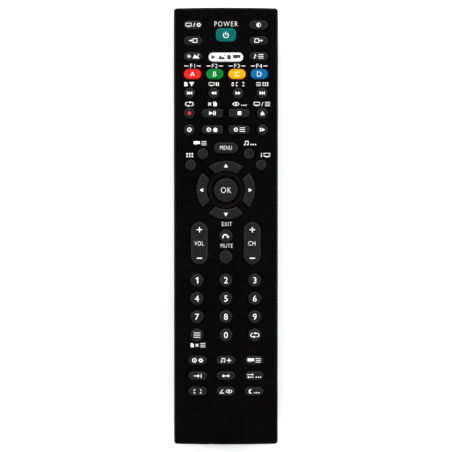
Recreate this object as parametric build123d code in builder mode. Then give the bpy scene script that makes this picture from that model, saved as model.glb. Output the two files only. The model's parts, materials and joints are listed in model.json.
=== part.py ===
"""Hand-held television remote control, built as its separate pieces.

Millimetres. X runs across, +Y points to the infrared end and +Z out of the key face.
The origin lies on the resting surface, under the middle of the housing.
"""
from build123d import *
import math
import os

os.makedirs("parts", exist_ok=True)

# Housing
body_width = 50.0
body_length = 210.3
body_height = 20.5  # resting surface to key face
end_bow = 0.3  # both short ends bulge by this much at the middle
corner_radius = 1.6
face_edge_radius = 1.1
seam_height = 13.0  # where the front and rear shells meet
seam_chamfer = 0.3
side_draft = 1.4  # each side leans in by this much at the back
back_edge_radius = 7.0
foot_height = 0.5
side_wall = 1.8
face_wall = 2.0
inner_corner_radius = 0.6
lip_inset = 1.0
lip_thickness = 0.7
lip_height = 1.2
lip_clearance = 0.1

# Feet along the back
foot_width = 1.4
foot_length = 12.0
foot_margin = 3.0  # from the battery cover's side to the middle of a foot
foot_edge_radius = 0.3
upper_foot_margin = 17.15  # from the housing's end to the middle of a foot
lower_foot_margin = 13.15

# Key travel and fits
key_clearance = 0.2  # key side to housing opening
opening_chamfer = 0.2
key_rise = 1.2  # key top above the face
key_edge_radius = 0.8
key_travel = 1.0
flange_reach = 0.35  # flange beyond the opening
flange_thickness = 0.6
flange_gap = 0.15  # flange to the housing, and flange to the web around it
post_inset = 0.5
pill_diameter = 3.0
pill_thickness = 0.5
pill_bond = 0.02
touch_gap = 0.02  # what is left over the contact pad with a key pressed

# Keypad mat and circuit board
mat_thickness = 1.0
mat_side_gap = 1.0  # mat and board edge to the housing's inner side
mat_corner_radius = 2.0
web_height = 1.45
web_top_wall = 0.35
web_foot_wall = 0.85
mat_end_gap = 0.65  # mat to the infrared window's flange
mat_lower_margin = 7.0  # mat beyond the centre of the last key row
board_thickness = 1.2
pad_thickness = 0.05
pad_diameter = 3.4
locator_diameter = 1.4
locator_shoulder_diameter = 2.4
locator_clearance = 0.1
locator_margin = 1.9  # middle of a locating pin or post to the mat's side
upper_locator_x = 3.0
upper_locator_margin = 2.4
lower_locator_x = 7.0
lower_locator_margin = 1.6

# Key sizes, across X then along Y
side_key = ("slot", 9.2, 4.3)
power_key = ("block", 9.9, 6.6)
wide_height = 4.35
colour_height = 5.0
small_key = ("round", 5.4, 5.4)
bullet_height = 4.3
menu_key = ("slot", 11.8, 5.4)
ok_key = ("round", 11.6, 11.6)
return_key = ("round", 6.6, 6.6)
rocker_key = ("tall_slot", 8.3, 20.6)
digit_key = ("round", 6.5, 6.5)
block_corner_radius = 2.3
bullet_corner_radius = 1.0
arrow_gap = 0.55  # raised ring to the arrow keys
arrow_depth = 4.95
arrow_slit = 3.6  # width of the diagonal web between two arrow keys
arrow_corner_radius = 0.7

# Key rows, each by its drop below the one before: together they fill the housing's length
side_row_count = 3
digit_row_count = 4
function_row_count = 3
first_row_margin = 8.35  # upper end of the housing to the first row of side keys
side_pitch = 7.5
power_drop = 4.8  # below the first row of side keys
wide_drop = 10.6
colour_drop = 8.1
skip_drop = 9.1
record_drop = 9.6
disc_drop = 7.9
menu_drop = 8.7
nav_drop = 20.3
return_drop = 22.1  # below the middle of the arrow keys
mute_drop = 10.0
rocker_drop = 25.5  # below the middle of the arrow keys
digit_drop = 17.8
digit_pitch = 8.8
function_drop = 12.2
function_pitch = 7.5
tail_drop = 25.95  # last row of function keys to the lower end of the housing

# Key columns, by their margin to the housing's side or by their gaps
row_key_count = 4  # keys across the colour row and the skip row
side_margin = 9.3
wide_gap = 2.8  # wide key to the side keys
colour_margin = 9.01
colour_gap = 2.06
skip_margin = 7.6
disc_margin = 7.5
disc_gap = 3.1  # bullet key to the round key beside it
disc_middle_gap = 2.6
upper_pair_x = 11.1
upper_pair_rise = 17.4  # above the middle of the arrow keys, as for the lower pair
lower_pair_margin = 8.1
lower_pair_rise = 12.1
rocker_margin = 12.3
digit_margin = 11.1
function_margin = 11.4

# Raised ring round the OK key
ring_gap = 0.7  # OK key to the ring
ring_width = 2.1
ring_rise = 0.35
ring_edge_radius = 0.15

# Rocker keys, which tip about a rib under their middle
rocker_tilt = 4.0  # degrees each way, about a line 2.6 mm under the key face
rocker_ear_length = 5.0
rocker_ear_gap = 0.4
rocker_pill_offset = 6.5
rocker_rib_width = 1.6
rocker_rib_gap = 0.15
rocker_end_clearance = 0.35

# Cells and their bay
cell_diameter = 10.5
cell_length = 44.5
cell_nub_diameter = 3.8
cell_nub_height = 0.8
cell_edge_radius = 0.6
cell_gap = 0.8
cell_side_gap = 0.3
bay_wall = 1.2
bay_end_gap = 5.75  # bay to the inside of the lower end
cell_contact_gap = 0.05

# Battery contacts
contact_thickness = 0.4
contact_width = 8.0
contact_height = 8.6
contact_dimple_radius = 2.2
contact_dimple_height = 0.25
contact_tab_width = 2.4
tab_clearance = 0.3
spring_length = 4.6
spring_wire = 0.5
spring_base_radius = 3.3
spring_top_radius = 2.2
spring_turns = 4

# Battery cover, which slides off towards the lower end
cover_thickness = 1.7
cover_margin = 0.8  # cover beyond the bay's outer wall
cover_clearance = 0.15
tongue_width = 1.0
tongue_thickness = 0.7
rail_width = 2.25
rail_roof = 1.05
cover_reach = 4.85  # cover beyond the upper end of the bay
grip_count = 6
grip_pitch = 1.9
grip_width = 0.9
grip_length = 14.0
grip_depth = 0.45
grip_margin = 4.5  # first groove below the cover's upper edge

# Infrared window and its emitter
window_width = 26.0
window_height = 7.0
window_rise = 0.5  # middle of the window above the emitter's axis
window_corner_radius = 1.2
window_gap = 0.08
window_flange = 1.0
window_flange_thickness = 0.8
led_diameter = 5.0
led_length = 8.6
led_flange_diameter = 5.8
led_flange_thickness = 1.0
led_tip_gap = 0.5
led_drop = 3.1  # emitter axis under the board
led_lead_width = 0.5
led_lead_pitch = 2.54
led_lead_length = 3.0

# Parts soldered under the board
chip_length = 12.8
chip_width = 7.5
chip_height = 2.3
chip_stand_off = 0.15
chip_lead_count = 10
chip_lead_pitch = 1.27
chip_lead_width = 0.4
chip_lead_reach = 1.4
chip_lead_thickness = 0.25
chip_drop = 66.6  # below the board's upper edge, as for the parts that follow
resonator_length = 10.5
resonator_width = 4.5
resonator_height = 3.5
resonator_drop = 49.6
capacitor_diameter = 5.0
capacitor_length = 11.0
capacitor_x = -12.0
capacitor_drop = 31.6
transistor_length = 2.9
transistor_width = 1.4
transistor_height = 1.1
transistor_x = 9.0
transistor_drop = 17.6
resistor_length = 2.0
resistor_width = 1.25
resistor_height = 0.5
resistor_columns = 4
resistor_rows = 2
resistor_pitch_x = 5.0
resistor_pitch_y = 4.0
resistor_drop = 83.6
support_diameter = 3.0
support_drops = [23.6, 57.6, 105.6, 139.6]  # posts below the board's upper edge

# Heights, down from the key face and up from the resting surface
back_z = foot_height
face_inner_z = body_height - face_wall
flange_top_z = face_inner_z - flange_gap
flange_bottom_z = flange_top_z - flange_thickness
mat_top_z = flange_top_z - web_height
board_top_z = mat_top_z - mat_thickness
board_bottom_z = board_top_z - board_thickness
key_top_z = body_height + key_rise
pad_top_z = board_top_z + pad_thickness
pill_bottom_z = pad_top_z + key_travel + touch_gap
pill_top_z = pill_bottom_z + pill_thickness
cover_top_z = back_z + cover_thickness
cell_axis_z = cover_top_z + cell_side_gap + cell_diameter / 2
bay_ceiling_z = cell_axis_z + cell_diameter / 2 + cell_side_gap
led_axis_z = board_bottom_z - led_drop
window_centre_z = led_axis_z + window_rise

# Widths and fits
cell_pitch = cell_diameter + cell_gap
bay_half_width = (cell_pitch + cell_diameter) / 2 + cell_side_gap
cover_half_width = bay_half_width + bay_wall + cover_margin
foot_x = cover_half_width + foot_margin
inner_half_width = body_width / 2 - side_wall
mat_half_width = inner_half_width - mat_side_gap
pin_x = mat_half_width - locator_margin
flange_grow = key_clearance + flange_reach
pocket_grow = flange_grow + flange_gap
ring_inner_radius = ok_key[1] / 2 + ring_gap
ring_outer_radius = ring_inner_radius + ring_width
arrow_inner_radius = ring_outer_radius + arrow_gap
arrow_outer_radius = arrow_inner_radius + arrow_depth

# Places along the housing
inner_end_y = body_length / 2 - side_wall
window_seat_y = inner_end_y - end_bow
window_reach = body_length / 2 - window_seat_y
led_tip_y = window_seat_y - window_flange_thickness - led_tip_gap
mat_upper_y = window_seat_y - window_flange_thickness - mat_end_gap
chip_y = mat_upper_y - chip_drop
resonator_y = mat_upper_y - resonator_drop
capacitor_y = mat_upper_y - capacitor_drop
transistor_y = mat_upper_y - transistor_drop
resistor_y = mat_upper_y - resistor_drop
bay_length = (
    cell_length
    + spring_length
    + contact_dimple_height
    + 2 * contact_thickness
    + 2 * cell_contact_gap
)
bay_end_y = bay_end_gap - inner_end_y
bay_top_y = bay_end_y + bay_length
cover_top_y = bay_top_y + cover_reach
grip_first_y = cover_top_y - grip_margin
upper_foot_y = body_length / 2 - upper_foot_margin
lower_foot_y = lower_foot_margin - body_length / 2


def rows(top, pitch, count):
    """Return evenly spaced heights, from the top one down."""
    return [top - pitch * index for index in range(count)]


def spread(pitch, count):
    """Return evenly spaced offsets about zero, from left to right."""
    return [pitch * (index - (count - 1) / 2) for index in range(count)]


def arrow(direction):
    """Return the outline of one arrow key, named by the angle that it points at."""
    return ("arrow", direction, 0)


# The rows share out the length from the first row to the lower end
drops = [power_drop, wide_drop, colour_drop, skip_drop, record_drop, disc_drop, menu_drop, nav_drop]
drops += [rocker_drop, digit_drop] + [digit_pitch] * (digit_row_count - 1)
drops += [function_drop] + [function_pitch] * (function_row_count - 1) + [tail_drop]
row_stretch = (body_length - first_row_margin) / sum(drops)
side_top_y = body_length / 2 - first_row_margin
power_y = side_top_y - power_drop * row_stretch
wide_y = power_y - wide_drop * row_stretch
colour_y = wide_y - colour_drop * row_stretch
skip_y = colour_y - skip_drop * row_stretch
record_y = skip_y - record_drop * row_stretch
disc_y = record_y - disc_drop * row_stretch
menu_y = disc_y - menu_drop * row_stretch
nav_y = menu_y - nav_drop * row_stretch
upper_pair_y = nav_y + upper_pair_rise
lower_pair_y = nav_y + lower_pair_rise
return_y = nav_y - return_drop * row_stretch
mute_y = return_y - mute_drop * row_stretch
rocker_y = nav_y - rocker_drop * row_stretch
side_rows = rows(side_top_y, side_pitch * row_stretch, side_row_count)
digit_top_y = rocker_y - digit_drop * row_stretch
digit_rows = rows(digit_top_y, digit_pitch * row_stretch, digit_row_count)
function_top_y = digit_rows[-1] - function_drop * row_stretch
function_rows = rows(function_top_y, function_pitch * row_stretch, function_row_count)

# The columns keep their margins and gaps, and the keys between them take up the width
side_x = body_width / 2 - side_margin
disc_outer_x = body_width / 2 - disc_margin
lower_pair_x = body_width / 2 - lower_pair_margin
rocker_x = body_width / 2 - rocker_margin
digit_x = body_width / 2 - digit_margin
function_x = body_width / 2 - function_margin
colour_pitch = (body_width - 2 * colour_margin) / (row_key_count - 1)
skip_pitch = (body_width - 2 * skip_margin) / (row_key_count - 1)
colour_x = spread(colour_pitch, row_key_count)
skip_x = spread(skip_pitch, row_key_count)
wide_key = ("slot", 2 * (side_x - side_key[1] / 2 - wide_gap), wide_height)
colour_key = ("slot", colour_pitch - colour_gap, colour_height)
bullet_length = disc_outer_x - small_key[1] / 2 - disc_gap - disc_middle_gap / 2
disc_inner_x = (disc_middle_gap + bullet_length) / 2
play_key = ("left_bullet", bullet_length, bullet_height)
stop_key = ("right_bullet", bullet_length, bullet_height)

# Every key node, with the outline and place of each key in it
key_nodes = {
    "key_power": [(power_key, 0, power_y)],
    "key_wide": [(wide_key, 0, wide_y)],
    "keys_left_column": [(side_key, -side_x, y) for y in side_rows],
    "keys_right_column": [(side_key, side_x, y) for y in side_rows],
    "key_red": [(colour_key, colour_x[0], colour_y)],
    "key_green": [(colour_key, colour_x[1], colour_y)],
    "key_yellow": [(colour_key, colour_x[2], colour_y)],
    "key_blue": [(colour_key, colour_x[3], colour_y)],
    "keys_skip_row": [(small_key, x, skip_y) for x in skip_x],
    "key_record": [(small_key, -disc_outer_x, record_y)],
    "key_play_pause": [(play_key, -disc_inner_x, record_y)],
    "key_stop": [(stop_key, disc_inner_x, record_y)],
    "key_eject": [(small_key, disc_outer_x, record_y)],
    "keys_disc_row": [
        (small_key, -disc_outer_x, disc_y),
        (play_key, -disc_inner_x, disc_y),
        (stop_key, disc_inner_x, disc_y),
        (small_key, disc_outer_x, disc_y),
    ],
    "key_menu": [(menu_key, 0, menu_y)],
    "key_upper_left": [(small_key, -upper_pair_x, upper_pair_y)],
    "key_upper_right": [(small_key, upper_pair_x, upper_pair_y)],
    "key_lower_left": [(small_key, -lower_pair_x, lower_pair_y)],
    "key_lower_right": [(small_key, lower_pair_x, lower_pair_y)],
    "key_right": [(arrow(0), 0, nav_y)],
    "key_up": [(arrow(90), 0, nav_y)],
    "key_left": [(arrow(180), 0, nav_y)],
    "key_down": [(arrow(270), 0, nav_y)],
    "key_ok": [(ok_key, 0, nav_y)],
    "key_return": [(return_key, 0, return_y)],
    "key_mute": [(return_key, 0, mute_y)],
    "key_list": [(digit_key, -digit_x, digit_rows[-1])],
    "key_0": [(digit_key, 0, digit_rows[-1])],
    "key_swap": [(digit_key, digit_x, digit_rows[-1])],
}
for digit in range(1, 10):
    column_x = digit_x * ((digit - 1) % 3 - 1)
    key_nodes[f"key_{digit}"] = [(digit_key, column_x, digit_rows[(digit - 1) // 3])]
for row, row_y in enumerate(function_rows, start=1):
    row_keys = [(side_key, column * function_x, row_y) for column in (-1, 0, 1)]
    key_nodes[f"keys_function_row_{row}"] = row_keys
rockers = {"rocker_volume": -rocker_x, "rocker_channel": rocker_x}

# What lines up with the keys
mat_lower_y = function_rows[-1] - mat_lower_margin
locator_places = [
    (upper_locator_x, mat_upper_y - upper_locator_margin),
    (pin_x, nav_y),
    (pin_x, (digit_rows[0] + digit_rows[1]) / 2),
    (lower_locator_x, mat_lower_y + lower_locator_margin),
]
support_places = [(pin_x, mat_upper_y - drop) for drop in support_drops]
slide_keys = [key for keys in key_nodes.values() for key in keys]


def arrow_outline(direction, grow):
    """Return an arrow key's outline: a ring sector between two diagonal slits."""
    inner = arrow_inner_radius - grow
    outer = arrow_outer_radius + grow
    slit_half = arrow_slit / 2 - grow

    def corner(radius, side):
        """Return the sector's corner at a radius, on one side of its middle."""
        half_angle = 45 - math.degrees(math.asin(slit_half / radius))
        angle = math.radians(direction + side * half_angle)
        return (radius * math.cos(angle), radius * math.sin(angle))

    middle = (math.cos(math.radians(direction)), math.sin(math.radians(direction)))
    with BuildSketch(mode=Mode.PRIVATE) as sector:
        with BuildLine():
            ThreePointArc(corner(outer, -1), (outer * middle[0], outer * middle[1]), corner(outer, 1))
            Line(corner(outer, 1), corner(inner, 1))
            ThreePointArc(corner(inner, 1), (inner * middle[0], inner * middle[1]), corner(inner, -1))
            Line(corner(inner, -1), corner(outer, -1))
        make_face()
        fillet(sector.vertices(), arrow_corner_radius + max(grow, 0))
    return sector.sketch


def draw_outline(shape, grow=0.0):
    """Draw a key's outline, grown all round, at the current location."""
    kind, width, height = shape
    full_width = width + 2 * grow
    full_height = height + 2 * grow
    if kind == "round":
        Circle(full_width / 2)
    elif kind == "slot":
        SlotOverall(full_width, full_height)
    elif kind == "tall_slot":
        SlotOverall(full_height, full_width, rotation=90)
    elif kind == "block":
        RectangleRounded(full_width, full_height, block_corner_radius + grow)
    elif kind == "arrow":
        add(arrow_outline(width, grow))
    else:
        square_side = 1 if kind == "left_bullet" else -1
        SlotOverall(full_width, full_height)
        with Locations((square_side * full_width / 4, 0)):
            RectangleRounded(full_width / 2, full_height, bullet_corner_radius + grow)


def pill_places(shape, x, y):
    """Return where the contact pills of one key lie."""
    kind, width, _ = shape
    if kind == "arrow":
        middle_radius = (arrow_inner_radius + arrow_outer_radius) / 2
        angle = math.radians(width)
        return [(x + middle_radius * math.cos(angle), y + middle_radius * math.sin(angle))]
    return [(x, y)]


def plan_outline(inset, corner):
    """Return the housing's plan, drawn in by an inset: straight sides and bowed ends."""
    half_width = body_width / 2 - inset
    tip_y = body_length / 2 - inset
    shoulder_y = tip_y - end_bow
    with BuildSketch(mode=Mode.PRIVATE) as outline:
        with BuildLine():
            Line((half_width, -shoulder_y), (half_width, shoulder_y))
            ThreePointArc((half_width, shoulder_y), (0, tip_y), (-half_width, shoulder_y))
            Line((-half_width, shoulder_y), (-half_width, -shoulder_y))
            ThreePointArc((-half_width, -shoulder_y), (0, -tip_y), (half_width, -shoulder_y))
        make_face()
        if corner > 0:
            fillet(outline.vertices(), corner)
    return outline.sketch


def rear_form(inset):
    """Return the solid between the back and the seam, drawn in all round by an inset."""
    half_top = body_width / 2 - inset
    half_back = half_top - side_draft
    bottom_z = back_z + inset
    with BuildPart(mode=Mode.PRIVATE) as form:
        with BuildSketch(Plane.XZ) as section:
            with BuildLine():
                Polyline(
                    (-half_top, seam_height),
                    (-half_back, bottom_z),
                    (half_back, bottom_z),
                    (half_top, seam_height),
                    close=True,
                )
            make_face()
            fillet(section.vertices().group_by(Axis.Y)[0], back_edge_radius - inset)
        extrude(amount=body_length, both=True)
        with BuildSketch():
            add(plan_outline(inset, 0))
        extrude(amount=body_height, mode=Mode.INTERSECT)
        ends = form.faces().sort_by(Axis.Y)
        rim = ends[0].edges() + ends[-1].edges()
        below_seam = rim.filter_by(lambda edge: edge.center().Z < seam_height - seam_chamfer)
        fillet(below_seam, max(corner_radius - inset, inner_corner_radius))
    return form.part


def window_opening(start_y, grow):
    """Return the infrared window's outline on a plane across the end, grown all round."""
    with BuildSketch(Plane.XZ.offset(-start_y), mode=Mode.PRIVATE) as opening:
        with Locations((0, window_centre_z)):
            RectangleRounded(
                window_width + 2 * grow,
                window_height + 2 * grow,
                window_corner_radius + grow,
            )
    return opening.sketch


def mirrored(places):
    """Return each place and its mirror image across the middle."""
    return [(side * x, y) for side in (-1, 1) for x, y in places]


# Front shell: face with the key openings, ring, end notch and locating pins
with BuildPart() as front_shell:
    with BuildSketch(Plane.XY.offset(seam_height)):
        add(plan_outline(0, corner_radius))
    extrude(amount=body_height - seam_height)
    fillet(front_shell.faces().sort_by(Axis.Z)[-1].edges(), face_edge_radius)
    chamfer(front_shell.faces().sort_by(Axis.Z)[0].edges(), seam_chamfer)
    with BuildSketch(Plane.XY.offset(seam_height)):
        add(plan_outline(side_wall, inner_corner_radius))
    extrude(amount=face_inner_z - seam_height, mode=Mode.SUBTRACT)
    with BuildSketch(Plane.XY.offset(seam_height)):
        add(plan_outline(lip_inset - lip_clearance, inner_corner_radius))
    extrude(amount=lip_height + lip_clearance, mode=Mode.SUBTRACT)
    with BuildSketch(Plane.XY.offset(face_inner_z)):
        for shape, x, y in slide_keys:
            with Locations((x, y)):
                draw_outline(shape, key_clearance)
        for x in rockers.values():
            with Locations((x, rocker_y)):
                draw_outline(rocker_key, rocker_end_clearance)
    extrude(amount=face_wall, mode=Mode.SUBTRACT)
    face = front_shell.faces().filter_by(Axis.Z).sort_by(Axis.Z)[-1]
    chamfer([edge for wire in face.inner_wires() for edge in wire.edges()], opening_chamfer)
    with BuildSketch(Plane.XY.offset(body_height)):
        with Locations((0, nav_y)):
            Circle(ring_outer_radius)
            Circle(ring_inner_radius, mode=Mode.SUBTRACT)
    extrude(amount=ring_rise)
    fillet(front_shell.faces().sort_by(Axis.Z)[-1].edges(), ring_edge_radius)
    with BuildSketch(Plane.XY.offset(face_inner_z)):
        with Locations(*mirrored(locator_places)):
            Circle(locator_shoulder_diameter / 2)
    extrude(amount=mat_top_z - face_inner_z)
    with BuildSketch(Plane.XY.offset(mat_top_z)):
        with Locations(*mirrored(locator_places)):
            Circle(locator_diameter / 2)
    extrude(amount=board_bottom_z - mat_top_z)
    extrude(window_opening(window_seat_y, window_gap), amount=-window_reach, mode=Mode.SUBTRACT)
front_shell.part.label = "front_shell"
export_step(front_shell.part, "parts/front_shell.step")


def cover_section(plane_y, grow):
    """Return the battery cover's cross-section with its side tongues, grown all round."""
    top_z = cover_top_z + grow
    tongue_z = cover_top_z - tongue_thickness - grow
    half_width = cover_half_width + grow
    with BuildSketch(Plane.XZ.offset(-plane_y), mode=Mode.PRIVATE) as section:
        with Locations((0, top_z)):
            Rectangle(2 * half_width, top_z, align=(Align.CENTER, Align.MAX))
        with Locations((0, tongue_z)):
            Rectangle(
                2 * (half_width + tongue_width),
                top_z - tongue_z,
                align=(Align.CENTER, Align.MIN),
            )
    return section.sketch


def support_posts():
    """Return the posts that carry the circuit board, trimmed to the rear shell's outside."""
    with BuildPart(mode=Mode.PRIVATE) as posts:
        with BuildSketch():
            with Locations(*mirrored(support_places)):
                Circle(support_diameter / 2)
        extrude(amount=seam_height)
        add(rear_form(0), mode=Mode.INTERSECT)
        with BuildSketch(Plane.XY.offset(seam_height)):
            with Locations(*mirrored(support_places)):
                Circle(support_diameter / 2)
        extrude(amount=board_bottom_z - seam_height)
    return posts.part


def tab_slots(height, depth):
    """Return the slots that the two contact tabs pass through, upwards from a height."""
    with BuildPart(mode=Mode.PRIVATE) as slots:
        with BuildSketch(Plane.XY.offset(height)):
            with Locations(*mirrored([(cell_pitch / 2, bay_top_y - contact_thickness / 2)])):
                Rectangle(contact_tab_width + tab_clearance, contact_thickness + tab_clearance)
        extrude(amount=depth)
    return slots.part


# Rear shell: tub with the cell bay, cover rails, feet, board posts and seam lip
rail_top_z = cover_top_z + cover_clearance + rail_roof
rail_half_width = cover_half_width + cover_clearance + rail_width
rail_end_y = -inner_end_y - side_wall / 2
rail_length = cover_top_y + cover_clearance + bay_wall - rail_end_y
recess_top_y = cover_top_y + cover_clearance
with BuildPart() as rear_shell:
    add(rear_form(0))
    add(rear_form(side_wall), mode=Mode.SUBTRACT)
    with BuildSketch(Plane.XY.offset(seam_height - lip_height)):
        add(plan_outline(lip_inset, inner_corner_radius))
        add(plan_outline(lip_inset + lip_thickness, inner_corner_radius), mode=Mode.SUBTRACT)
    extrude(amount=2 * lip_height)
    with BuildSketch(Plane.XY.offset(back_z + side_wall / 2)):
        with Locations((0, rail_end_y)):
            Rectangle(2 * rail_half_width, rail_length, align=(Align.CENTER, Align.MIN))
    extrude(amount=rail_top_z - back_z - side_wall / 2)
    with BuildSketch(Plane.XY.offset(rail_top_z - rail_roof)):
        with Locations((0, bay_end_y - bay_wall)):
            Rectangle(
                2 * (bay_half_width + bay_wall),
                bay_length + 2 * bay_wall,
                align=(Align.CENTER, Align.MIN),
            )
    extrude(amount=bay_ceiling_z + bay_wall - rail_top_z + rail_roof)
    add(support_posts())
    extrude(cover_section(recess_top_y, cover_clearance), amount=body_length, mode=Mode.SUBTRACT)
    with BuildSketch():
        with Locations((0, bay_end_y)):
            Rectangle(2 * bay_half_width, bay_length, align=(Align.CENTER, Align.MIN))
    extrude(amount=bay_ceiling_z, mode=Mode.SUBTRACT)
    add(tab_slots(bay_ceiling_z, bay_wall), mode=Mode.SUBTRACT)
    extrude(window_opening(window_seat_y, window_gap), amount=-window_reach, mode=Mode.SUBTRACT)
    with BuildSketch():
        with Locations(*mirrored([(foot_x, upper_foot_y), (foot_x, lower_foot_y)])):
            SlotOverall(foot_length, foot_width, rotation=90)
    extrude(amount=foot_height + side_wall / 2)
    fillet(rear_shell.faces().sort_by(Axis.Z)[0:4].edges(), foot_edge_radius)
rear_shell.part.label = "rear_shell"
export_step(rear_shell.part, "parts/rear_shell.step")

# Battery cover: the strip of the back under the cells, with tongues and thumb grooves
with BuildPart() as battery_cover:
    add(rear_form(0))
    extrude(cover_section(cover_top_y, 0), amount=body_length, mode=Mode.INTERSECT)
    with BuildSketch(Plane.XY.offset(back_z)):
        with Locations(*[(0, y) for y in rows(grip_first_y, grip_pitch, grip_count)]):
            SlotOverall(grip_length, grip_width)
    extrude(amount=grip_depth, mode=Mode.SUBTRACT)
battery_cover.part.label = "battery_cover"
export_step(battery_cover.part, "parts/battery_cover.step")

# Infrared window, held by a flange behind the end wall
with BuildPart() as ir_window:
    extrude(window_opening(window_seat_y, 0), amount=-window_reach)
    with BuildSketch():
        add(plan_outline(0, corner_radius))
    extrude(amount=body_height, mode=Mode.INTERSECT)
    flange_y = window_seat_y - window_flange_thickness
    extrude(window_opening(flange_y, window_flange), amount=-window_flange_thickness)
ir_window.part.label = "ir_window"
export_step(ir_window.part, "parts/ir_window.step")


def mat_outline(plane_z):
    """Return the outline that the keypad mat and the circuit board share."""
    with BuildSketch(Plane.XY.offset(plane_z), mode=Mode.PRIVATE) as outline:
        with Locations((0, (mat_upper_y + mat_lower_y) / 2)):
            RectangleRounded(2 * mat_half_width, mat_upper_y - mat_lower_y, mat_corner_radius)
    return outline.sketch


# Keypad mat: base sheet, and a conical web round each key
rocker_grow = pocket_grow - key_clearance + rocker_end_clearance
web_keys = [(shape, x, y, pocket_grow) for shape, x, y in slide_keys]
web_keys += [(rocker_key, x, rocker_y, rocker_grow) for x in rockers.values()]
with BuildPart() as keypad_mat:
    extrude(mat_outline(board_top_z), amount=mat_thickness)
    for shape, x, y, grow in web_keys:
        with BuildSketch(Plane.XY.offset(mat_top_z)):
            with Locations((x, y)):
                draw_outline(shape, grow + web_foot_wall)
        with BuildSketch(Plane.XY.offset(flange_top_z)):
            with Locations((x, y)):
                draw_outline(shape, grow + web_top_wall)
        loft(ruled=True)
    with BuildSketch(Plane.XY.offset(board_top_z)):
        for shape, x, y, grow in web_keys:
            with Locations((x, y)):
                draw_outline(shape, grow)
        with Locations(*mirrored(locator_places)):
            Circle(locator_diameter / 2 + locator_clearance)
    extrude(amount=mat_thickness + web_height, mode=Mode.SUBTRACT)
keypad_mat.part.label = "keypad_mat"
export_step(keypad_mat.part, "parts/keypad_mat.step")

# Circuit board with its raised contact pads
rocker_pill_places = [
    (x, rocker_y + side * rocker_pill_offset) for x in rockers.values() for side in (-1, 1)
]
pad_places = [place for key in slide_keys for place in pill_places(*key)] + rocker_pill_places
with BuildPart() as circuit_board:
    extrude(mat_outline(board_bottom_z), amount=board_thickness)
    with BuildSketch(Plane.XY.offset(board_top_z)):
        with Locations(*pad_places):
            Circle(pad_diameter / 2)
    extrude(amount=pad_thickness)
    with BuildSketch(Plane.XY.offset(board_bottom_z)):
        with Locations(*mirrored(locator_places)):
            Circle(locator_diameter / 2 + locator_clearance)
    extrude(amount=board_thickness, mode=Mode.SUBTRACT)
    add(tab_slots(board_bottom_z, board_thickness), mode=Mode.SUBTRACT)
circuit_board.part.label = "circuit_board"
export_step(circuit_board.part, "parts/circuit_board.step")

# Sliding keys: cap, flange and post, with a contact pill under each
for name, keys in key_nodes.items():
    with BuildPart() as key_node:
        with BuildSketch(Plane.XY.offset(flange_bottom_z)):
            for shape, x, y in keys:
                with Locations((x, y)):
                    draw_outline(shape)
        extrude(amount=key_top_z - flange_bottom_z)
        fillet(key_node.faces().group_by(Axis.Z)[-1].edges(), key_edge_radius)
        with BuildSketch(Plane.XY.offset(flange_bottom_z)):
            for shape, x, y in keys:
                with Locations((x, y)):
                    draw_outline(shape, flange_grow)
        extrude(amount=flange_thickness)
        with BuildSketch(Plane.XY.offset(pill_top_z + pill_bond)):
            for shape, x, y in keys:
                with Locations((x, y)):
                    draw_outline(shape, -post_inset)
        extrude(amount=flange_bottom_z - pill_top_z - pill_bond)
        with BuildSketch(Plane.XY.offset(pill_bottom_z)):
            with Locations(*[place for key in keys for place in pill_places(*key)]):
                Circle(pill_diameter / 2)
        extrude(amount=pill_thickness)
    key_node.part.label = name
    export_step(key_node.part, f"parts/{name}.step")

# Rocker keys: cap with side ears, a rib to tip on and a contact pill near each end
rocker_ear_top_z = face_inner_z - rocker_ear_gap
rocker_core_z = rocker_ear_top_z - flange_thickness
rocker_pill_drop = (rocker_pill_offset + pill_diameter / 2) * math.sin(math.radians(rocker_tilt))
rocker_pill_z = pad_top_z + rocker_pill_drop + touch_gap
rocker_post_z = rocker_pill_z + pill_thickness + pill_bond
rocker_ear_width = rocker_key[1] + 2 * (rocker_end_clearance + flange_reach)
for name, rocker_centre_x in rockers.items():
    with BuildPart() as rocker:
        with BuildSketch(Plane.XY.offset(rocker_core_z)):
            with Locations((rocker_centre_x, rocker_y)):
                draw_outline(rocker_key)
        extrude(amount=key_top_z - rocker_core_z)
        fillet(rocker.faces().sort_by(Axis.Z)[-1].edges(), key_edge_radius)
        with BuildSketch(Plane.XY.offset(rocker_core_z)):
            with Locations((rocker_centre_x, rocker_y)):
                Rectangle(rocker_ear_width, rocker_ear_length)
        extrude(amount=flange_thickness)
        with BuildSketch(Plane.XY.offset(board_top_z + rocker_rib_gap)):
            with Locations((rocker_centre_x, rocker_y)):
                Rectangle(rocker_key[1] - 2 * post_inset, rocker_rib_width)
        extrude(amount=rocker_core_z - board_top_z - rocker_rib_gap)
        pills = [(rocker_centre_x, rocker_y + side * rocker_pill_offset) for side in (-1, 1)]
        with BuildSketch(Plane.XY.offset(rocker_post_z)):
            with Locations(*pills):
                Circle(pill_diameter / 2 + post_inset)
        extrude(amount=rocker_core_z - rocker_post_z)
        with BuildSketch(Plane.XY.offset(rocker_pill_z)):
            with Locations(*pills):
                Circle(pill_diameter / 2)
        extrude(amount=pill_thickness)
    rocker.part.label = name
    export_step(rocker.part, f"parts/{name}.step")

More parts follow.
